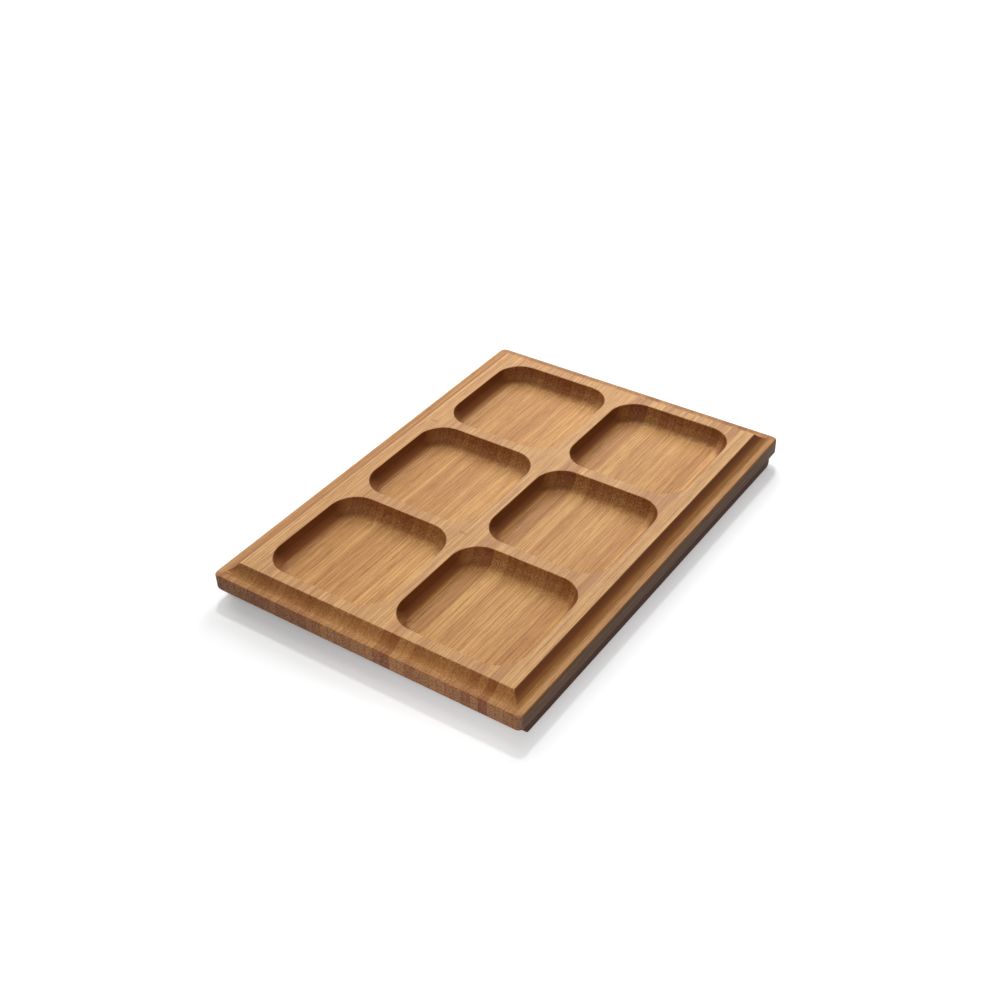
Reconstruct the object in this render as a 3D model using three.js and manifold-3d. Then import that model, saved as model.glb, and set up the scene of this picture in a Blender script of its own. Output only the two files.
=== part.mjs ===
// Bamboo serving tray: upright laths glued into one board, routed with six pockets and a coved rim,
// standing on two runners. Millimetres, +Z up, +Y along the laths, origin under the centre at table level.
import * as THREE from "three";
import { mergeVertices } from "three/addons/utils/BufferGeometryUtils.js";
import Module from "manifold-3d";

// Board
const TRAY_LENGTH = 350.8;
const TRAY_WIDTH = 252.6;
const LATH_COUNT = 40;
const BOARD_THICKNESS = 20.4;

// Rounded edge of the board: the corners are sanded rounder at the top and bottom than at half height
const EDGE_TOP_RADIUS = 1;
const EDGE_BOTTOM_RADIUS = 3.6;
const CORNER_RADIUS = 4;
const CORNER_EASING = 2.5;

// Coved rim round the top of the board: the hollow leaves the lip at an angle
const LIP_WIDTH = 4.4;
const COVE_RADIUS = 16.5;
const COVE_FOOT_ANGLE = 14;
const COVE_DEPTH = 6.15;

// Pockets
const POCKET_COLUMNS = 2;
const POCKET_ROWS = 3;
const SIDE_MARGIN = 24.2;
const END_MARGIN = 22.3;
const WEB_WIDTH = 9.4;
const POCKET_DEPTH = 11.6;
const POCKET_CORNER_RADIUS = 21;
const POCKET_FLOOR_RADIUS = 10;

// Runners under the long sides
const RUNNER_HEIGHT = 7.6;
const RUNNER_WIDTH = 12;
const RUNNER_SIDE_INSET = 2.3;
const RUNNER_END_INSET = 7.9;
const RUNNER_END_RADIUS = 4;

// Smoothness of the round shapes
const CORNER_SEGMENTS = 4;
const EDGE_SEGMENTS = 3;
const POCKET_CORNER_SEGMENTS = 5;
const ARC_SEGMENTS = 5;

// Overlap of cutting and joining shapes
const SPARE = 2;

const LATH_WIDTH = TRAY_WIDTH / LATH_COUNT;
const POCKET_WIDTH = (TRAY_WIDTH - 2 * SIDE_MARGIN - (POCKET_COLUMNS - 1) * WEB_WIDTH) / POCKET_COLUMNS;
const POCKET_LENGTH = (TRAY_LENGTH - 2 * END_MARGIN - (POCKET_ROWS - 1) * WEB_WIDTH) / POCKET_ROWS;
const BOARD_TOP = RUNNER_HEIGHT + BOARD_THICKNESS;
const LIP_TOP = BOARD_TOP - COVE_DEPTH;

const BAMBOO_TONES = { pale: 0xd2ab74, honey: 0xc2965c, brown: 0x9a6a3a };
const BROWN_LATHS = [10, 12, 13, 23, 24, 34, 36];
const PALE_LATHS = [9, 11, 16, 17, 25, 26, 35, 37, 38];
const BAMBOO_ROUGHNESS = 0.55;

const wasm = await Module();
wasm.setup();

function solidOf(geometry) {
  geometry.deleteAttribute("normal");
  geometry.deleteAttribute("uv");
  const merged = mergeVertices(geometry, 1e-4);
  return new wasm.Manifold(
    new wasm.Mesh({
      numProp: 3,
      vertProperties: new Float32Array(merged.attributes.position.array),
      triVerts: new Uint32Array(merged.index.array),
    }),
  );
}

function meshOf(name, solid, tone) {
  const shape = solid.getMesh();
  const geometry = new THREE.BufferGeometry();
  geometry.setAttribute("position", new THREE.BufferAttribute(shape.vertProperties, 3));
  geometry.setIndex(new THREE.BufferAttribute(shape.triVerts, 1));
  geometry.computeVertexNormals();
  const material = new THREE.MeshStandardMaterial({
    color: BAMBOO_TONES[tone],
    roughness: BAMBOO_ROUGHNESS,
    metalness: 0,
  });
  const mesh = new THREE.Mesh(geometry, material);
  mesh.name = name;
  return mesh;
}

function roundedRectangle(width, length, radius) {
  const x = width / 2;
  const y = length / 2;
  const shape = new THREE.Shape();
  shape.moveTo(x, radius - y);
  shape.lineTo(x, y - radius);
  shape.absarc(x - radius, y - radius, radius, 0, Math.PI / 2);
  shape.lineTo(radius - x, y);
  shape.absarc(radius - x, y - radius, radius, Math.PI / 2, Math.PI);
  shape.lineTo(-x, radius - y);
  shape.absarc(radius - x, radius - y, radius, Math.PI, 1.5 * Math.PI);
  shape.lineTo(x - radius, -y);
  shape.absarc(x - radius, radius - y, radius, 1.5 * Math.PI, 2 * Math.PI);
  return shape;
}

// One level of the board's edge: the share is 0 at the full outline and 1 where the rounding ends.
function edgeRing(radius, share, z) {
  const inset = 2 * radius * share;
  const corner = CORNER_RADIUS + CORNER_EASING * share;
  const outline = roundedRectangle(TRAY_WIDTH - inset, TRAY_LENGTH - inset, corner);
  return outline.getPoints(CORNER_SEGMENTS).map((point) => new THREE.Vector3(point.x, point.y, z));
}

// A closed shape through rings of equal count, each convex, from the lowest to the highest.
function loft(rings) {
  const count = rings[0].length;
  const top = (rings.length - 1) * count;
  const faces = [];
  for (let level = 0; level < top; level += count) {
    for (let i = 0; i < count; i++) {
      const j = (i + 1) % count;
      faces.push(level + i, level + j, level + count + j);
      faces.push(level + i, level + count + j, level + count + i);
    }
  }
  for (let i = 2; i < count; i++) {
    faces.push(0, i, i - 1);
    faces.push(top, top + i - 1, top + i);
  }
  const geometry = new THREE.BufferGeometry().setFromPoints(rings.flat());
  geometry.setIndex(faces);
  return geometry;
}

// The board's rounded edge, from its underside to the top of the lip.
function rimSlab() {
  const below = [];
  const above = [];
  for (let i = 0; i <= EDGE_SEGMENTS; i++) {
    const angle = ((i / EDGE_SEGMENTS) * Math.PI) / 2;
    const share = 1 - Math.sin(angle);
    const rise = 1 - Math.cos(angle);
    below.push(edgeRing(EDGE_BOTTOM_RADIUS, share, RUNNER_HEIGHT + EDGE_BOTTOM_RADIUS * rise));
    above.unshift(edgeRing(EDGE_TOP_RADIUS, share, LIP_TOP - EDGE_TOP_RADIUS * rise));
  }
  return solidOf(loft([...below, ...above]));
}

// Points of the cove from the lip up to the plateau, as distance in from the lip and height above it.
function covePoints() {
  const start = THREE.MathUtils.degToRad(COVE_FOOT_ANGLE);
  const end = Math.acos(Math.cos(start) - COVE_DEPTH / COVE_RADIUS);
  const points = [];
  for (let i = 0; i <= ARC_SEGMENTS; i++) {
    const angle = start + ((end - start) * i) / ARC_SEGMENTS;
    const inward = COVE_RADIUS * (Math.sin(angle) - Math.sin(start));
    const upward = COVE_RADIUS * (Math.cos(start) - Math.cos(angle));
    points.push(new THREE.Vector2(inward, upward));
  }
  return points;
}

// A bar with coved shoulders: its cross-section spans the given width and it runs the given length along Y.
function covedBar(width, length) {
  const edge = width / 2 - LIP_WIDTH;
  const cove = covePoints();
  const shape = new THREE.Shape();
  shape.moveTo(-edge, LIP_TOP - SPARE);
  shape.lineTo(edge, LIP_TOP - SPARE);
  for (const point of cove) {
    shape.lineTo(edge - point.x, LIP_TOP + point.y);
  }
  for (const point of cove.reverse()) {
    shape.lineTo(point.x - edge, LIP_TOP + point.y);
  }
  const geometry = new THREE.ExtrudeGeometry(shape, { depth: length, bevelEnabled: false });
  geometry.translate(0, 0, -length / 2);
  geometry.rotateX(Math.PI / 2);
  return geometry;
}

// The raised middle of the board, with the cove on all four sides meeting in mitres.
function plateau() {
  const alongLength = solidOf(covedBar(TRAY_WIDTH, TRAY_LENGTH));
  const alongWidth = solidOf(covedBar(TRAY_LENGTH, TRAY_WIDTH).rotateZ(Math.PI / 2));
  return alongLength.intersect(alongWidth);
}

// What the router takes out for one pocket: upright walls rounded into a flat floor.
function pocketCutter(x, y) {
  const inner = roundedRectangle(
    POCKET_WIDTH - 2 * POCKET_FLOOR_RADIUS,
    POCKET_LENGTH - 2 * POCKET_FLOOR_RADIUS,
    POCKET_CORNER_RADIUS - POCKET_FLOOR_RADIUS,
  );
  const geometry = new THREE.ExtrudeGeometry(inner, {
    depth: POCKET_DEPTH + SPARE,
    bevelThickness: POCKET_FLOOR_RADIUS,
    bevelSize: POCKET_FLOOR_RADIUS,
    bevelSegments: ARC_SEGMENTS,
    curveSegments: POCKET_CORNER_SEGMENTS,
  });
  geometry.translate(x, y, BOARD_TOP - POCKET_DEPTH + POCKET_FLOOR_RADIUS);
  return solidOf(geometry);
}

function routedBoard() {
  let board = rimSlab().add(plateau());
  for (let column = 0; column < POCKET_COLUMNS; column++) {
    for (let row = 0; row < POCKET_ROWS; row++) {
      const x = (column - (POCKET_COLUMNS - 1) / 2) * (POCKET_WIDTH + WEB_WIDTH);
      const y = (row - (POCKET_ROWS - 1) / 2) * (POCKET_LENGTH + WEB_WIDTH);
      board = board.subtract(pocketCutter(x, y));
    }
  }
  return board;
}

// The slice of the board that one lath fills, between two glue joints.
function lath(board, index) {
  const slice = new THREE.BoxGeometry(LATH_WIDTH, TRAY_LENGTH + 2 * SPARE, BOARD_TOP + 2 * SPARE);
  slice.translate(LATH_WIDTH * (index - 0.5) - TRAY_WIDTH / 2, 0, BOARD_TOP / 2);
  return board.intersect(solidOf(slice));
}

function lathTone(index) {
  if (BROWN_LATHS.includes(index)) return "brown";
  if (PALE_LATHS.includes(index)) return "pale";
  return "honey";
}

// A batten under one long side, its lower corners rounded up at both ends.
function runner(side) {
  const end = TRAY_LENGTH / 2 - RUNNER_END_INSET;
  const profile = new THREE.Shape();
  profile.moveTo(end, RUNNER_HEIGHT);
  profile.lineTo(-end, RUNNER_HEIGHT);
  profile.lineTo(-end, RUNNER_END_RADIUS);
  profile.absarc(RUNNER_END_RADIUS - end, RUNNER_END_RADIUS, RUNNER_END_RADIUS, Math.PI, 1.5 * Math.PI);
  profile.lineTo(end - RUNNER_END_RADIUS, 0);
  profile.absarc(end - RUNNER_END_RADIUS, RUNNER_END_RADIUS, RUNNER_END_RADIUS, 1.5 * Math.PI, 2 * Math.PI);
  const geometry = new THREE.ExtrudeGeometry(profile, {
    depth: RUNNER_WIDTH,
    bevelEnabled: false,
    curveSegments: CORNER_SEGMENTS,
  });
  geometry.rotateX(Math.PI / 2);
  geometry.rotateZ(Math.PI / 2);
  const middle = TRAY_WIDTH / 2 - RUNNER_SIDE_INSET - RUNNER_WIDTH / 2;
  geometry.translate(side * middle - RUNNER_WIDTH / 2, 0, 0);
  return solidOf(geometry);
}

const tray = new THREE.Group();
tray.name = "serving_tray";
const board = routedBoard();
for (let index = 1; index <= LATH_COUNT; index++) {
  const name = "lath_" + String(index).padStart(2, "0");
  tray.add(meshOf(name, lath(board, index), lathTone(index)));
}
tray.add(meshOf("runner_left", runner(-1), "honey"));
tray.add(meshOf("runner_right", runner(1), "honey"));

export default tray;
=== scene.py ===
"""Bamboo serving tray: finely shaped laths and runners in oiled bamboo, on a white studio floor.

Metres, +Z up, +Y along the laths. Every lath and runner replaces the plain solid of the same name.
"""
import math

import bmesh
import bpy
from mathutils import Matrix, Vector
from mathutils.geometry import tessellate_polygon


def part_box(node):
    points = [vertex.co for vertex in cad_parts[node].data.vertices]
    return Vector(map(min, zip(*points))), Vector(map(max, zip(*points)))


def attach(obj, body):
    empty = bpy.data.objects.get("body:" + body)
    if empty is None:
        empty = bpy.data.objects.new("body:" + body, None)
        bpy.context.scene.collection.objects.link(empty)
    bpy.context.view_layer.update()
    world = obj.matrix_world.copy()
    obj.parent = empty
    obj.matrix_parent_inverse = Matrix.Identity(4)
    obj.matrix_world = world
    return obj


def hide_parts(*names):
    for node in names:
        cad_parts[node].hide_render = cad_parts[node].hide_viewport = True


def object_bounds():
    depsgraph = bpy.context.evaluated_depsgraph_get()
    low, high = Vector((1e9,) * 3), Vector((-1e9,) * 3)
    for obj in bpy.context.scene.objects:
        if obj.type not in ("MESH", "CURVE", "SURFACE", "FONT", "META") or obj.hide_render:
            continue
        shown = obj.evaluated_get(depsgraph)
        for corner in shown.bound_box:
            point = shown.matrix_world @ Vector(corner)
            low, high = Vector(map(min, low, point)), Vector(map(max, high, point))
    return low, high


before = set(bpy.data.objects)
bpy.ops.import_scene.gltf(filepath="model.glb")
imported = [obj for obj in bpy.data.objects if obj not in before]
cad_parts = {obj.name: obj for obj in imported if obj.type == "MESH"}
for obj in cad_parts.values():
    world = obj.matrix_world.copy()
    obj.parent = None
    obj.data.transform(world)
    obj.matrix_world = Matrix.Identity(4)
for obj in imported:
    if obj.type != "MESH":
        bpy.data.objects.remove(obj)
CAD_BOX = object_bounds()

# Sizes that the frame gives
TRAY_WIDTH = CAD_BOX[1].x - CAD_BOX[0].x
TRAY_LENGTH = CAD_BOX[1].y - CAD_BOX[0].y
BOARD_TOP = CAD_BOX[1].z
BOARD_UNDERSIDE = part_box("runner_left")[1].z
LATH_NAMES = sorted(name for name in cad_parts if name.startswith("lath_"))
RUNNER_NAMES = ("runner_left", "runner_right")

# Rounded edge of the board, with corners sanded rounder at the top and bottom than at half height
EDGE_TOP_RADIUS = 0.0010
EDGE_BOTTOM_RADIUS = 0.0036
CORNER_RADIUS = 0.0040
CORNER_EASING = 0.0025

# Coved rim: the hollow leaves the lip at an angle
LIP_WIDTH = 0.0044
COVE_RADIUS = 0.0165
COVE_FOOT_ANGLE = math.radians(14)
COVE_DEPTH = 0.00615
LIP_TOP = BOARD_TOP - COVE_DEPTH

# Pockets
POCKET_COLUMNS = 2
POCKET_ROWS = 3
SIDE_MARGIN = 0.0242
END_MARGIN = 0.0223
WEB_WIDTH = 0.0094
POCKET_DEPTH = 0.0126
POCKET_CORNER_RADIUS = 0.021
POCKET_FLOOR_RADIUS = 0.0120
POCKET_WIDTH = (TRAY_WIDTH - 2 * SIDE_MARGIN - (POCKET_COLUMNS - 1) * WEB_WIDTH) / POCKET_COLUMNS
POCKET_LENGTH = (TRAY_LENGTH - 2 * END_MARGIN - (POCKET_ROWS - 1) * WEB_WIDTH) / POCKET_ROWS

# Arrises left by the router and a light sanding
ARRIS_RADIUS = 0.0005
RUNNER_END_RADIUS = 0.004
RUNNER_EASING = 0.0007
ROUND_PROFILE = 0.5

# Fineness of the round shapes
QUARTER_TURN = math.pi / 2
CORNER_STEPS = 8
EDGE_STEPS = 8
EASING_STEPS = 4
COVE_STEPS = 14
POCKET_CORNER_STEPS = 16
POCKET_FLOOR_STEPS = 16
RUNNER_STEPS = 10
CUT_TOLERANCE = 1e-7
SHARP_ANGLE = math.radians(32)
LARGE_FACE_WEIGHT = 100

# Lath tones, darkest to palest, with the numbers of their laths. The others have tone 0
TONE_LATHS = {
    -1.2: (36,),
    -1.0: (24,),
    -0.7: (13, 23, 34),
    -0.4: (6, 7, 10, 12, 27),
    -0.2: (8, 11, 15),
    0.2: (4, 5, 9, 35),
    0.4: (3, 17, 18, 20, 21, 22, 30, 31, 37),
    0.65: (16, 25, 26, 38),
}
# The runners' dark tone is painted shade: they are darkened to stand for the shade under the board
RUNNER_PAINTED_SHADE_TONE = -1.6

# Culm nodes that show as small marks on the plateau: lath number and place along it
CULM_NODES = {4: 0.0496, 16: 0.0600, 19: -0.0156, 20: -0.0531}
NODE_MARK_REACH = 0.0016
NODE_MARK_STRENGTH = 0.5
NODE_MARK_COLOR = (0.20, 0.095, 0.036)

# Bamboo colours, linear: dark fibre, body and pale streak, along the grain and on cut ends, with the
# shades at which they stand
SIDE_COLORS = ((0.355, 0.148, 0.034), (0.568, 0.273, 0.074), (0.672, 0.358, 0.114))
SIDE_STOPS = (0.45, 0.61, 0.73)
END_COLORS = ((0.170, 0.058, 0.015), (0.390, 0.160, 0.045), (0.500, 0.225, 0.072))
END_STOPS = (0.38, 0.50, 0.62)

# How much of a lath's tone shows on its sides and ends, and in its red, green and blue
SIDE_TONE_SHARE = 0.24
END_TONE_SHARE = 0.37
TONE_WEIGHTS = (0.65, 1.05, 1.35)

# Bamboo grain: fibre bundles run along the lath and show as dots on cut ends
SEED_STEP = (7.31, 3.17, 5.53)
BUNDLE_SPACING = 0.0009
BUNDLE_LENGTH = 0.016
DOT_EDGE = (0.18, 0.46)
SPECKLE_SIZE = 0.0010
FIBRE_WIDTH = 0.00050
FIBRE_LENGTH = 0.040
STREAK_WIDTH = 0.0014
STREAK_LENGTH = 0.25
NOISE_DETAIL = 2.0
FIBRE_DETAIL = 3.0
NOISE_ROUGHNESS = 0.55

# Shares of the grain's parts in the shade of sides and cut ends
FIBRE_SHARE = 0.60
STREAK_SHARE = 0.40
SIDE_SPECKLE_SHARE = 0.22
SIDE_DOT_SHARE = -0.10
END_SPECKLE_SHARE = 0.75
END_STREAK_SHARE = 0.25

# Where cut ends show: on faces turned to the ends, and in part on the lip there
CUT_END_SPAN = (0.05, 0.90)
END_LIP_BAND = (0.001, -0.001)
END_LIP_SHARE = 0.55

# Glue joints
JOINT_LINE = 0.00034
END_JOINT_LINE = 0.0006
JOINT_STRENGTH = 0.45
END_JOINT_STRENGTH = 0.50
JOINT_COLOR = (0.12, 0.045, 0.015)
JOINT_CLEARANCE = 2 * JOINT_LINE

# Painted shade on steep cuts and along the rim, standing for the shade that falls in the pockets and on the
# cove. Cut ends keep little of it
STEEP_PAINTED_SHADE = 0.95
RIM_PAINTED_SHADE = 0.30
END_PAINTED_SHADE_LOSS = 0.90
PAINTED_SHADE_COLOR = (0.200, 0.056, 0.0120)
STEEP_SHADE_SPAN = (0.76, 0.99)
RIM_SHADE_FOOT_BAND = (0.0009, 0.0003)
RIM_SHADE_HEAD_BAND = (0.0008, 0.0002)

# Sanding haze with painted sheen on the top, and a painted reflection that greys the outer faces. A band is
# the distance below a level, or in from the outline, at which a change starts and ends
SANDING_HAZE_AND_SHEEN = 0.12
HAZE_AND_SHEEN_COLOR = (0.600, 0.440, 0.330)
HAZE_AND_SHEEN_BAND = (0.0005, 0.0001)
PAINTED_REFLECTION = 0.28
END_REFLECTION_SHARE = 0.35
REFLECTION_COLOR = (0.180, 0.200, 0.340)
REFLECTION_BAND = (0.0016, 0.0006)
OUTER_BAND = (0.004, 0.001)

# Dull oiled surface
ROUGHNESS_SPAN = (0.30, 0.70)
DARK_ROUGHNESS = 0.62
PALE_ROUGHNESS = 0.52
DOT_HEIGHT = -0.6
BUMP_STRENGTH = 0.30
BUMP_DISTANCE = 0.00018
SPECULAR_LEVEL = 0.14
COAT_WEIGHT = 0.08
COAT_ROUGHNESS = 0.35

# The floor as the camera sees it: plain white, of which only a part takes shadows. Its own glow grows
# from left to right under the tray, and farther away makes up for the light's falling off
WHITE = (1.0, 1.0, 1.0, 1.0)
FLOOR_REACH = 6.0
FLOOR_SHADE = (0.84, 0.84, 0.84, 1.0)
FLOOR_BOUNCE = (0.10, 0.10, 0.10, 1.0)
FLOOR_GLOW_LEFT = 0.27
FLOOR_GLOW_RIGHT = 0.44
FLOOR_GLOW_SPAN = (-0.06, 0.14)
FLOOR_GLOW_PER_METRE = 1.0
FLOOR_GLOW_LIMIT = 1.0
WORLD_LIGHT = 0.01

# Camera of the photograph
CAMERA_TARGET = Vector((-0.00212, -0.00817, BOARD_TOP))
CAMERA_DISTANCE = 1.0160
CAMERA_AZIMUTH = math.radians(35.708)
CAMERA_ELEVATION = math.radians(36.799)
CAMERA_ROLL = math.radians(-2.11)
CAMERA_LENS = 51.227
CAMERA_SENSOR = 36.0
CAMERA_SHIFT_X = -0.0015


def rounded_ring(half_x, half_y, radius, steps, z, centre=(0.0, 0.0)):
    """Points of a rounded rectangle, counter-clockwise seen from above."""
    points = []
    for quarter, (side_x, side_y) in enumerate(((1, 1), (-1, 1), (-1, -1), (1, -1))):
        corner_x = centre[0] + side_x * (half_x - radius)
        corner_y = centre[1] + side_y * (half_y - radius)
        for step in range(steps + 1):
            angle = (quarter + step / steps) * QUARTER_TURN
            points.append((corner_x + radius * math.cos(angle), corner_y + radius * math.sin(angle), z))
    return points


def square_ring(inset, z):
    """Corners of the tray's outline moved in by the inset, in the order of rounded_ring's corners."""
    x = TRAY_WIDTH / 2 - inset
    y = TRAY_LENGTH / 2 - inset
    return [(x, y, z), (-x, y, z), (-x, -y, z), (x, -y, z)]


def add_ring(mesh, points):
    """Makes one vertex for each point."""
    return [mesh.verts.new(point) for point in points]


def skin(mesh, first, second):
    """Joins two rings of the same count with four-sided faces."""
    count = len(first)
    for i in range(count):
        j = (i + 1) % count
        mesh.faces.new((first[i], first[j], second[j], second[i]))


def outer_rings():
    """Inset, corner radius and height of each ring from the underside up the edge to the top of the lip."""
    below = []
    above = []
    for step in range(EDGE_STEPS + 1):
        angle = step / EDGE_STEPS * QUARTER_TURN
        share = 1 - math.sin(angle)
        rise = 1 - math.cos(angle)
        corner = CORNER_RADIUS + CORNER_EASING * share
        below.append((EDGE_BOTTOM_RADIUS * share, corner, BOARD_UNDERSIDE + EDGE_BOTTOM_RADIUS * rise))
        above.insert(0, (EDGE_TOP_RADIUS * share, corner, LIP_TOP - EDGE_TOP_RADIUS * rise))
    return below + above


def cove_rings():
    """Inset and height of each ring from the lip up the cove and over the softened edge of the plateau."""
    foot_sine = math.sin(COVE_FOOT_ANGLE)
    foot_cosine = math.cos(COVE_FOOT_ANGLE)
    top_angle = math.acos(foot_cosine - COVE_DEPTH / COVE_RADIUS)
    tangent = ARRIS_RADIUS * math.tan(top_angle / 2)
    end = top_angle - tangent / COVE_RADIUS
    rings = []
    for step in range(COVE_STEPS + 1):
        angle = COVE_FOOT_ANGLE + (end - COVE_FOOT_ANGLE) * step / COVE_STEPS
        inset = LIP_WIDTH + COVE_RADIUS * (math.sin(angle) - foot_sine)
        rings.append((inset, LIP_TOP + COVE_RADIUS * (foot_cosine - math.cos(angle))))
    centre = LIP_WIDTH + COVE_RADIUS * (math.sin(top_angle) - foot_sine) + tangent
    for step in range(1, EASING_STEPS + 1):
        angle = top_angle * (1 - step / EASING_STEPS)
        inset = centre - ARRIS_RADIUS * math.sin(angle)
        rings.append((inset, BOARD_TOP - ARRIS_RADIUS * (1 - math.cos(angle))))
    return rings


def pocket_rings():
    """Growth over the pocket's outline and height of each ring from its rim down to its floor."""
    rings = []
    for step in range(EASING_STEPS + 1):
        angle = step / EASING_STEPS * QUARTER_TURN
        growth = ARRIS_RADIUS * (1 - math.sin(angle))
        rings.append((growth, BOARD_TOP - ARRIS_RADIUS * (1 - math.cos(angle))))
    floor = BOARD_TOP - POCKET_DEPTH
    for step in range(POCKET_FLOOR_STEPS + 1):
        angle = step / POCKET_FLOOR_STEPS * QUARTER_TURN
        growth = -POCKET_FLOOR_RADIUS * (1 - math.cos(angle))
        rings.append((growth, floor + POCKET_FLOOR_RADIUS * (1 - math.sin(angle))))
    return rings


def add_pocket(mesh, centre):
    """Makes one pocket's rim, walls and floor, and returns the rim."""
    rim = None
    last = None
    for growth, z in pocket_rings():
        ring = add_ring(mesh, rounded_ring(
            POCKET_WIDTH / 2 + growth,
            POCKET_LENGTH / 2 + growth,
            POCKET_CORNER_RADIUS + growth,
            POCKET_CORNER_STEPS,
            z,
            centre,
        ))
        if last:
            skin(mesh, last, ring)
        else:
            rim = ring
        last = ring
    mesh.faces.new(last)
    return rim


def add_edge(mesh):
    """Makes the underside and the board's edge, and returns the ring at the top of the lip."""
    last = None
    for inset, corner, z in outer_rings():
        half_x = TRAY_WIDTH / 2 - inset
        half_y = TRAY_LENGTH / 2 - inset
        ring = add_ring(mesh, rounded_ring(half_x, half_y, corner, CORNER_STEPS, z))
        if last:
            skin(mesh, last, ring)
        else:
            mesh.faces.new(reversed(ring))
        last = ring
    return last


def add_lip(mesh, outer, inner):
    """Joins the lip's rounded outline to the square foot of the cove."""
    for corner, foot in enumerate(inner):
        first = corner * (CORNER_STEPS + 1)
        last = first + CORNER_STEPS
        for i in range(first, last):
            mesh.faces.new((outer[i], outer[i + 1], foot))
        after = (corner + 1) % len(inner)
        mesh.faces.new((outer[last], outer[after * (CORNER_STEPS + 1)], inner[after], foot))


def board_mesh():
    """The whole routed board as one closed mesh, before it is cut into laths."""
    mesh = bmesh.new()
    last = add_edge(mesh)
    for index, (inset, z) in enumerate(cove_rings()):
        ring = add_ring(mesh, square_ring(inset, z))
        if index:
            skin(mesh, last, ring)
        else:
            add_lip(mesh, last, ring)
        last = ring
    outlines = [last]
    for column in range(POCKET_COLUMNS):
        for row in range(POCKET_ROWS):
            x = (column - (POCKET_COLUMNS - 1) / 2) * (POCKET_WIDTH + WEB_WIDTH)
            y = (row - (POCKET_ROWS - 1) / 2) * (POCKET_LENGTH + WEB_WIDTH)
            outlines.append(add_pocket(mesh, (x, y)))
    vertices = [vertex for outline in outlines for vertex in outline]
    for triangle in tessellate_polygon([[vertex.co for vertex in outline] for outline in outlines]):
        mesh.faces.new([vertices[i] for i in triangle])
    bmesh.ops.recalc_face_normals(mesh, faces=mesh.faces)
    return mesh


def cut_off(mesh, x, direction):
    """Cuts away what lies past x in the direction and closes the cut with the glue face."""
    everything = mesh.verts[:] + mesh.edges[:] + mesh.faces[:]
    cut = bmesh.ops.bisect_plane(
        mesh,
        geom=everything,
        dist=CUT_TOLERANCE,
        plane_co=(x, 0, 0),
        plane_no=(direction, 0, 0),
        clear_outer=True,
    )
    edges = [item for item in cut["geom_cut"] if isinstance(item, bmesh.types.BMEdge)]
    bmesh.ops.holes_fill(mesh, edges=edges, sides=0)


def finish_piece(name, mesh, material):
    """Turns a mesh into the shown piece that stands for the solid of that name."""
    bmesh.ops.recalc_face_normals(mesh, faces=mesh.faces)
    data = bpy.data.meshes.new(name + "_fine")
    mesh.to_mesh(data)
    mesh.free()
    data.polygons.foreach_set("use_smooth", [True] * len(data.polygons))
    data.set_sharp_from_angle(angle=SHARP_ANGLE)
    data.materials.append(material)
    piece = bpy.data.objects.new(name + "_fine", data)
    bpy.context.scene.collection.objects.link(piece)
    weighted = piece.modifiers.new("even_shading", "WEIGHTED_NORMAL")
    weighted.keep_sharp = True
    weighted.weight = LARGE_FACE_WEIGHT
    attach(piece, "root")
    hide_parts(name)


def add_laths():
    """Cuts a copy of the board down to each lath."""
    board = board_mesh()
    for number, name in enumerate(LATH_NAMES, start=1):
        low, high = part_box(name)
        mesh = board.copy()
        if number > 1:
            cut_off(mesh, low.x, -1)
        if number < len(LATH_NAMES):
            cut_off(mesh, high.x, 1)
        finish_piece(name, mesh, lath_material(number, low.x, high.x))
    board.free()


def add_runner(name):
    """A batten with rounded lower corners at its ends and softened edges."""
    low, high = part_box(name)
    outline = [(high.y, high.z), (low.y, high.z)]
    for end, quarter in ((low.y + RUNNER_END_RADIUS, 2), (high.y - RUNNER_END_RADIUS, 3)):
        for step in range(RUNNER_STEPS + 1):
            angle = (quarter + step / RUNNER_STEPS) * QUARTER_TURN
            outline.append((
                end + RUNNER_END_RADIUS * math.cos(angle),
                low.z + RUNNER_END_RADIUS * (1 + math.sin(angle)),
            ))
    mesh = bmesh.new()
    near = add_ring(mesh, [(high.x, y, z) for y, z in outline])
    far = add_ring(mesh, [(low.x, y, z) for y, z in outline])
    skin(mesh, near, far)
    rims = [edge for edge in mesh.edges if abs(edge.verts[0].co.x - edge.verts[1].co.x) < CUT_TOLERANCE]
    mesh.faces.new(near)
    mesh.faces.new(reversed(far))
    bmesh.ops.bevel(
        mesh,
        geom=rims,
        offset=RUNNER_EASING,
        segments=EASING_STEPS,
        affect="EDGES",
        profile=ROUND_PROFILE,
    )
    finish_piece(name, mesh, runner_material(name, low.x, high.x))


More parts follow.
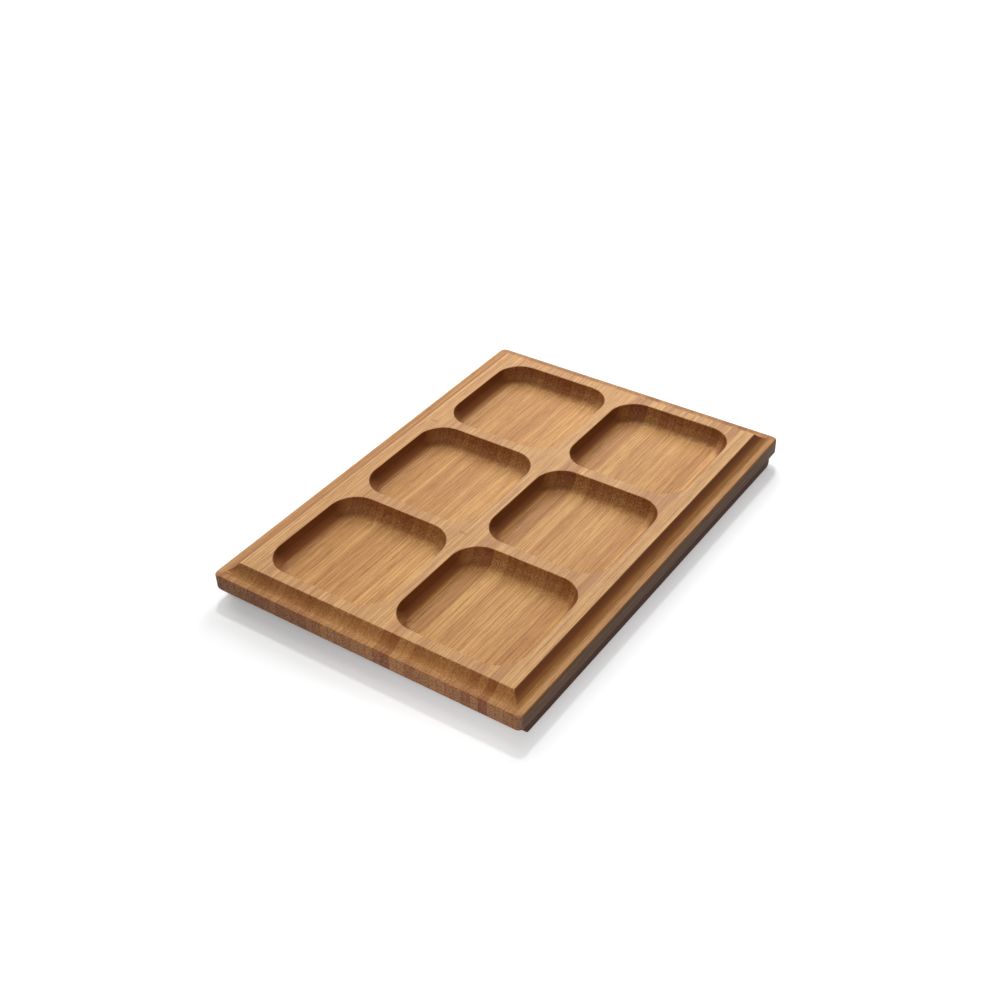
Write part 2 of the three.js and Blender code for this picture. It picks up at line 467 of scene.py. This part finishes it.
class Graph:
    """Short calls for the nodes of a material or world. Each input is a socket to link or a value to set."""

    # Sockets of the Mix node that serve colours
    MIX_FACTOR, MIX_FIRST, MIX_SECOND, MIX_RESULT = 0, 6, 7, 2

    def __init__(self, owner):
        owner.use_nodes = True
        self.tree = owner.node_tree
        self.tree.nodes.clear()

    def add(self, kind, inputs, **settings):
        """One node. The settings come first, because they decide which sockets count."""
        node = self.tree.nodes.new(kind)
        for name, value in settings.items():
            setattr(node, name, value)
        for key, value in inputs.items():
            if isinstance(value, bpy.types.NodeSocket):
                self.tree.links.new(value, node.inputs[key])
            else:
                node.inputs[key].default_value = value
        return node

    def math(self, operation, *values):
        return self.add("ShaderNodeMath", dict(enumerate(values)), operation=operation).outputs[0]

    def weighted(self, first, first_share, second, second_share):
        """The sum of two values, each times its share."""
        return self.math("MULTIPLY_ADD", first, first_share, self.math("MULTIPLY", second, second_share))

    def rise(self, value, low, high, start=0.0, end=1.0):
        """A smooth change from start to end while the value goes from low to high."""
        inputs = {"Value": value, "From Min": low, "From Max": high, "To Min": start, "To Max": end}
        return self.add("ShaderNodeMapRange", inputs, interpolation_type="SMOOTHSTEP").outputs["Result"]

    def below(self, value, level, band, start=0.0, end=1.0):
        """A smooth change over a band below the level."""
        return self.rise(value, level - band[0], level - band[1], start, end)

    def parts(self, vector):
        """The X, Y and Z of a vector."""
        return self.add("ShaderNodeSeparateXYZ", {"Vector": vector}).outputs

    def noise(self, vector, detail=NOISE_DETAIL):
        inputs = {"Vector": vector, "Scale": 1.0, "Detail": detail, "Roughness": NOISE_ROUGHNESS}
        return self.add("ShaderNodeTexNoise", inputs).outputs["Fac"]

    def ramp(self, value, places, colors):
        """A colour that goes through the given ones as the value passes their places."""
        node = self.add("ShaderNodeValToRGB", {"Fac": value})
        elements = node.color_ramp.elements
        while len(elements) < len(places):
            elements.new(1.0)
        for element, place, color in zip(elements, places, colors):
            element.position = place
            element.color = (*color, 1.0)
        return node.outputs["Color"]

    def mix(self, factor, first, color):
        """Goes from the first colour's socket to a second socket or a plain colour."""
        second = color if isinstance(color, bpy.types.NodeSocket) else (*color, 1.0)
        inputs = {self.MIX_FACTOR: factor, self.MIX_FIRST: first, self.MIX_SECOND: second}
        return self.add("ShaderNodeMix", inputs, data_type="RGBA").outputs[self.MIX_RESULT]

    def seen(self):
        """1 for rays that show a surface or its mirror image, 0 for rays that only carry its light."""
        path = self.add("ShaderNodeLightPath", {}).outputs
        direct = self.math("MAXIMUM", path["Is Camera Ray"], path["Is Glossy Ray"])
        return self.math("MAXIMUM", direct, path["Is Transmission Ray"])


def toned(colors, change):
    """The colours of a paler or darker lath. A darker lath is also redder."""
    factors = [1 + change * weight for weight in TONE_WEIGHTS]
    return [tuple(channel * factor for channel, factor in zip(color, factors)) for color in colors]


def grain(graph, place, seed):
    """Dots of the fibre bundles, fibres, streaks and speckle, each from 0 to 1."""
    offset = tuple(seed * step for step in SEED_STEP)

    def stretched(width, length):
        inputs = {"Vector": place, "Scale": (1 / width, 1 / length, 1 / width), "Location": offset}
        return graph.add("ShaderNodeMapping", inputs).outputs[0]

    bundles = {"Vector": stretched(BUNDLE_SPACING, BUNDLE_LENGTH), "Scale": 1.0}
    from_bundle = graph.add("ShaderNodeTexVoronoi", bundles).outputs["Distance"]
    dots = graph.rise(from_bundle, *DOT_EDGE, 1.0, 0.0)
    fibres = graph.noise(stretched(FIBRE_WIDTH, FIBRE_LENGTH), FIBRE_DETAIL)
    streaks = graph.noise(stretched(STREAK_WIDTH, STREAK_LENGTH))
    speckle = graph.noise(stretched(SPECKLE_SIZE, SPECKLE_SIZE))
    return dots, fibres, streaks, speckle


def with_painted_light(graph, color, tone, point, normal, cut_end):
    """The colour with painted shade on steep cuts and the rim, the sanding haze and painted sheen of the
    top, and a painted reflection that greys the outer faces.
    """
    out_x = graph.below(graph.math("ABSOLUTE", point["X"]), TRAY_WIDTH / 2, OUTER_BAND)
    out_y = graph.below(graph.math("ABSOLUTE", point["Y"]), TRAY_LENGTH / 2, OUTER_BAND)
    inner = graph.math("SUBTRACT", 1.0, graph.math("MAXIMUM", out_x, out_y))
    shade_color = toned((PAINTED_SHADE_COLOR,), END_TONE_SHARE * tone)[0]

    # Painted shade: steep pocket walls, fillets and cove are darkened as if in shade, less so on cut ends
    steep_shade = graph.rise(normal["Z"], *STEEP_SHADE_SPAN, STEEP_PAINTED_SHADE, 0.0)
    shade_kept = graph.math("MULTIPLY_ADD", cut_end, -END_PAINTED_SHADE_LOSS, 1.0)
    painted_steep_shade = graph.math("MULTIPLY", graph.math("MULTIPLY", steep_shade, shade_kept), inner)
    color = graph.mix(painted_steep_shade, color, shade_color)

    # Painted shade on everything from the lip to just below the top: the lip, the cove and the upper pocket
    # walls
    rim_shade_from_lip = graph.below(point["Z"], LIP_TOP, RIM_SHADE_FOOT_BAND, 0.0, RIM_PAINTED_SHADE)
    rim_shade_to_top = graph.below(point["Z"], BOARD_TOP, RIM_SHADE_HEAD_BAND, 1.0, 0.0)
    color = graph.mix(graph.math("MULTIPLY", rim_shade_from_lip, rim_shade_to_top), color, shade_color)

    # Sanding haze with painted sheen: the top face is paled and greyed
    haze_and_sheen = graph.below(point["Z"], BOARD_TOP, HAZE_AND_SHEEN_BAND, 0.0, SANDING_HAZE_AND_SHEEN)
    color = graph.mix(haze_and_sheen, color, HAZE_AND_SHEEN_COLOR)

    # Painted reflection: the outer faces below the lip are greyed towards blue as if they mirrored the white
    # floor
    reflection_below_lip = graph.below(point["Z"], LIP_TOP, REFLECTION_BAND, PAINTED_REFLECTION, 0.0)
    reflected = graph.math("MAXIMUM", out_x, graph.math("MULTIPLY", out_y, END_REFLECTION_SHARE))
    return graph.mix(graph.math("MULTIPLY", reflected, reflection_below_lip), color, REFLECTION_COLOR)


def jointed(graph, color, point, cut_end, low_x, high_x):
    """The colour with dark lines along the two glue joints."""
    half = (high_x - low_x) / 2
    offset = graph.math("SUBTRACT", point["X"], (low_x + high_x) / 2)
    from_middle = graph.math("ABSOLUTE", offset)
    side_joint = graph.below(from_middle, half, (JOINT_LINE, 0.0), 0.0, JOINT_STRENGTH)
    end_joint = graph.below(from_middle, half, (END_JOINT_LINE, 0.0), 0.0, END_JOINT_STRENGTH)
    joint = graph.math("MAXIMUM", side_joint, graph.math("MULTIPLY", end_joint, cut_end))
    return graph.mix(joint, color, JOINT_COLOR)


def node_marked(graph, color, point, fibres, node_place):
    """The colour with the frayed mark of a culm node across the lath."""
    wobble = graph.math("MULTIPLY", fibres, NODE_MARK_REACH)
    offset = graph.math("SUBTRACT", graph.math("ADD", point["Y"], wobble), node_place)
    mark = graph.rise(graph.math("ABSOLUTE", offset), 0.0, NODE_MARK_REACH, NODE_MARK_STRENGTH, 0.0)
    return graph.mix(mark, color, NODE_MARK_COLOR)


def bamboo(name, tone, seed, low_x, high_x, node_place=None):
    """Oiled bamboo between two glue joints, with its fibres along Y."""
    material = bpy.data.materials.new(name)
    graph = Graph(material)
    coordinates = graph.add("ShaderNodeTexCoord", {}).outputs
    point = graph.parts(coordinates["Object"])
    normal = graph.parts(coordinates["Normal"])
    dots, fibres, streaks, speckle = grain(graph, coordinates["Object"], seed)

    along = graph.math("ABSOLUTE", point["Y"])
    end_lip = graph.below(along, TRAY_LENGTH / 2 - LIP_WIDTH, END_LIP_BAND, 0.0, END_LIP_SHARE)
    end_face = graph.rise(graph.math("ABSOLUTE", normal["Y"]), *CUT_END_SPAN)
    cut_end = graph.math("MAXIMUM", end_face, end_lip)

    fine = graph.weighted(fibres, FIBRE_SHARE, streaks, STREAK_SHARE)
    dotted = graph.math("MULTIPLY_ADD", dots, SIDE_DOT_SHARE, fine)
    side_shade = graph.math("MULTIPLY_ADD", speckle, SIDE_SPECKLE_SHARE, dotted)
    end_shade = graph.weighted(speckle, END_SPECKLE_SHARE, streaks, END_STREAK_SHARE)
    side = graph.ramp(side_shade, SIDE_STOPS, toned(SIDE_COLORS, SIDE_TONE_SHARE * tone))
    end = graph.ramp(end_shade, END_STOPS, toned(END_COLORS, END_TONE_SHARE * tone))

    color = graph.mix(cut_end, side, end)
    color = with_painted_light(graph, color, tone, point, normal, cut_end)
    color = jointed(graph, color, point, cut_end, low_x, high_x)
    if node_place is not None:
        color = node_marked(graph, color, point, fibres, node_place)

    bump = graph.add("ShaderNodeBump", {
        "Height": graph.math("MULTIPLY_ADD", dots, DOT_HEIGHT, fibres),
        "Strength": BUMP_STRENGTH,
        "Distance": BUMP_DISTANCE,
    })
    surface = graph.add("ShaderNodeBsdfPrincipled", {
        "Base Color": color,
        "Roughness": graph.rise(fine, *ROUGHNESS_SPAN, DARK_ROUGHNESS, PALE_ROUGHNESS),
        "Specular IOR Level": SPECULAR_LEVEL,
        "Coat Weight": COAT_WEIGHT,
        "Coat Roughness": COAT_ROUGHNESS,
        "Normal": bump.outputs["Normal"],
    })
    graph.add("ShaderNodeOutputMaterial", {"Surface": surface.outputs["BSDF"]})
    return material


def lath_tone(number):
    for tone, numbers in TONE_LATHS.items():
        if number in numbers:
            return tone
    return 0.0


def lath_material(number, low_x, high_x):
    """Bamboo for one lath. The outer face of a lath at the tray's side has no joint line."""
    if number == 1:
        low_x -= JOINT_CLEARANCE
    if number == len(LATH_NAMES):
        high_x += JOINT_CLEARANCE
    name = f"bamboo_lath_{number:02d}"
    return bamboo(name, lath_tone(number), number, low_x, high_x, CULM_NODES.get(number))


def runner_material(name, low_x, high_x):
    """Bamboo for one runner, which has no joint lines. Its seed follows those of the laths."""
    seed = len(LATH_NAMES) + RUNNER_NAMES.index(name) + 1
    return bamboo("bamboo_" + name, RUNNER_PAINTED_SHADE_TONE, seed, low_x - JOINT_CLEARANCE, high_x + JOINT_CLEARANCE)


def floor_material():
    """White that takes shadows where it is seen, and dull for the light that it throws back up."""
    material = bpy.data.materials.new("studio_white")
    graph = Graph(material)
    place = graph.add("ShaderNodeTexCoord", {}).outputs["Object"]
    near = graph.rise(graph.parts(place)["X"], *FLOOR_GLOW_SPAN, FLOOR_GLOW_LEFT, FLOOR_GLOW_RIGHT)
    distance = graph.add("ShaderNodeVectorMath", {0: place}, operation="LENGTH").outputs["Value"]
    growing = graph.math("MULTIPLY", distance, FLOOR_GLOW_PER_METRE)
    far = graph.math("MINIMUM", growing, FLOOR_GLOW_LIMIT)
    strength = graph.math("MAXIMUM", near, far)
    glow = graph.add("ShaderNodeEmission", {"Color": WHITE, "Strength": strength})
    pale = graph.add("ShaderNodeBsdfDiffuse", {"Color": FLOOR_SHADE})
    dull = graph.add("ShaderNodeBsdfDiffuse", {"Color": FLOOR_BOUNCE})
    lifted = graph.add("ShaderNodeAddShader", {0: pale.outputs[0], 1: glow.outputs[0]})
    mixed = graph.add("ShaderNodeMixShader", {0: graph.seen(), 1: dull.outputs[0], 2: lifted.outputs[0]})
    graph.add("ShaderNodeOutputMaterial", {"Surface": mixed.outputs[0]})
    return material


def add_floor():
    mesh = bmesh.new()
    bmesh.ops.create_grid(mesh, x_segments=1, y_segments=1, size=FLOOR_REACH)
    data = bpy.data.meshes.new("studio_floor")
    mesh.to_mesh(data)
    mesh.free()
    data.materials.append(floor_material())
    floor = bpy.data.objects.new("studio_floor", data)
    bpy.context.scene.collection.objects.link(floor)


def add_world():
    """Low even light, with white behind the floor."""
    world = bpy.data.worlds.new("studio")
    bpy.context.scene.world = world
    graph = Graph(world)
    strength = graph.math("MULTIPLY_ADD", graph.seen(), 1 - WORLD_LIGHT, WORLD_LIGHT)
    back = graph.add("ShaderNodeBackground", {"Color": WHITE, "Strength": strength})
    graph.add("ShaderNodeOutputWorld", {"Surface": back.outputs[0]})


def add_light(name, kind, energy, place, target=(0, 0, 0), **settings):
    """A light at the place, turned to the target. An area's energy is in watts."""
    data = bpy.data.lights.new(name, kind)
    data.energy = energy
    for key, value in settings.items():
        setattr(data, key, value)
    light = bpy.data.objects.new(name, data)
    bpy.context.scene.collection.objects.link(light)
    direction = Vector(target) - Vector(place)
    light.location = place
    light.rotation_euler = direction.to_track_quat("-Z", "Y").to_euler()


def from_side(azimuth, elevation, distance):
    """A place seen from the origin: azimuth from +X towards +Y, both angles in degrees."""
    level = math.cos(math.radians(elevation))
    return Vector((
        distance * level * math.cos(math.radians(azimuth)),
        distance * level * math.sin(math.radians(azimuth)),
        distance * math.sin(math.radians(elevation)),
    ))


def add_lights():
    """A key and soft lights from behind and from the left, and weaker ones from above and in front."""
    add_light("key", "SUN", energy=0.78, place=(-0.36, 0.55, 1.0), angle=math.radians(5))
    add_light("soft", "AREA", energy=25.0, place=from_side(azimuth=158, elevation=32, distance=2.4),
              shape="SQUARE", size=1.6)
    add_light("back", "AREA", energy=6.2, place=from_side(azimuth=115, elevation=38, distance=1.10),
              shape="DISK", size=0.6)
    add_light("top", "AREA", energy=5.0, place=from_side(azimuth=140, elevation=80, distance=2.0),
              shape="SQUARE", size=1.0)
    add_light("front", "AREA", energy=2.7, place=from_side(azimuth=-80, elevation=55, distance=1.6),
              shape="SQUARE", size=0.8)
    add_light("left", "AREA", energy=0.6, place=from_side(azimuth=215, elevation=38, distance=1.6),
              shape="DISK", size=0.7)
    add_light("fill", "AREA", energy=0.142, place=(0.115, -0.52, 0.08), target=(0.05, -0.175, 0.015),
              shape="DISK", size=0.25, spread=math.radians(70))
    add_light("glint", "AREA", energy=0.5, place=from_side(azimuth=-37, elevation=24, distance=1.5),
              shape="DISK", size=0.14)


def add_camera():
    """The photograph's camera, placed round its target by azimuth, elevation and roll."""
    away = Vector((
        math.cos(CAMERA_ELEVATION) * math.sin(CAMERA_AZIMUTH),
        -math.cos(CAMERA_ELEVATION) * math.cos(CAMERA_AZIMUTH),
        math.sin(CAMERA_ELEVATION),
    ))
    level = Vector((0, 0, 1)).cross(away).normalized()
    upright = away.cross(level)
    right = math.cos(CAMERA_ROLL) * level + math.sin(CAMERA_ROLL) * upright
    up = math.cos(CAMERA_ROLL) * upright - math.sin(CAMERA_ROLL) * level
    data = bpy.data.cameras.new("photo_camera")
    data.lens = CAMERA_LENS
    data.sensor_width = CAMERA_SENSOR
    data.shift_x = CAMERA_SHIFT_X
    camera = bpy.data.objects.new("photo_camera", data)
    bpy.context.scene.collection.objects.link(camera)
    turn = Matrix((right, up, away)).transposed()
    camera.matrix_world = Matrix.Translation(CAMERA_TARGET + CAMERA_DISTANCE * away) @ turn.to_4x4()
    bpy.context.scene.camera = camera


bpy.context.scene.view_settings.view_transform = "Standard"
add_camera()
add_laths()
for runner_name in RUNNER_NAMES:
    add_runner(runner_name)
add_floor()
add_world()
add_lights()
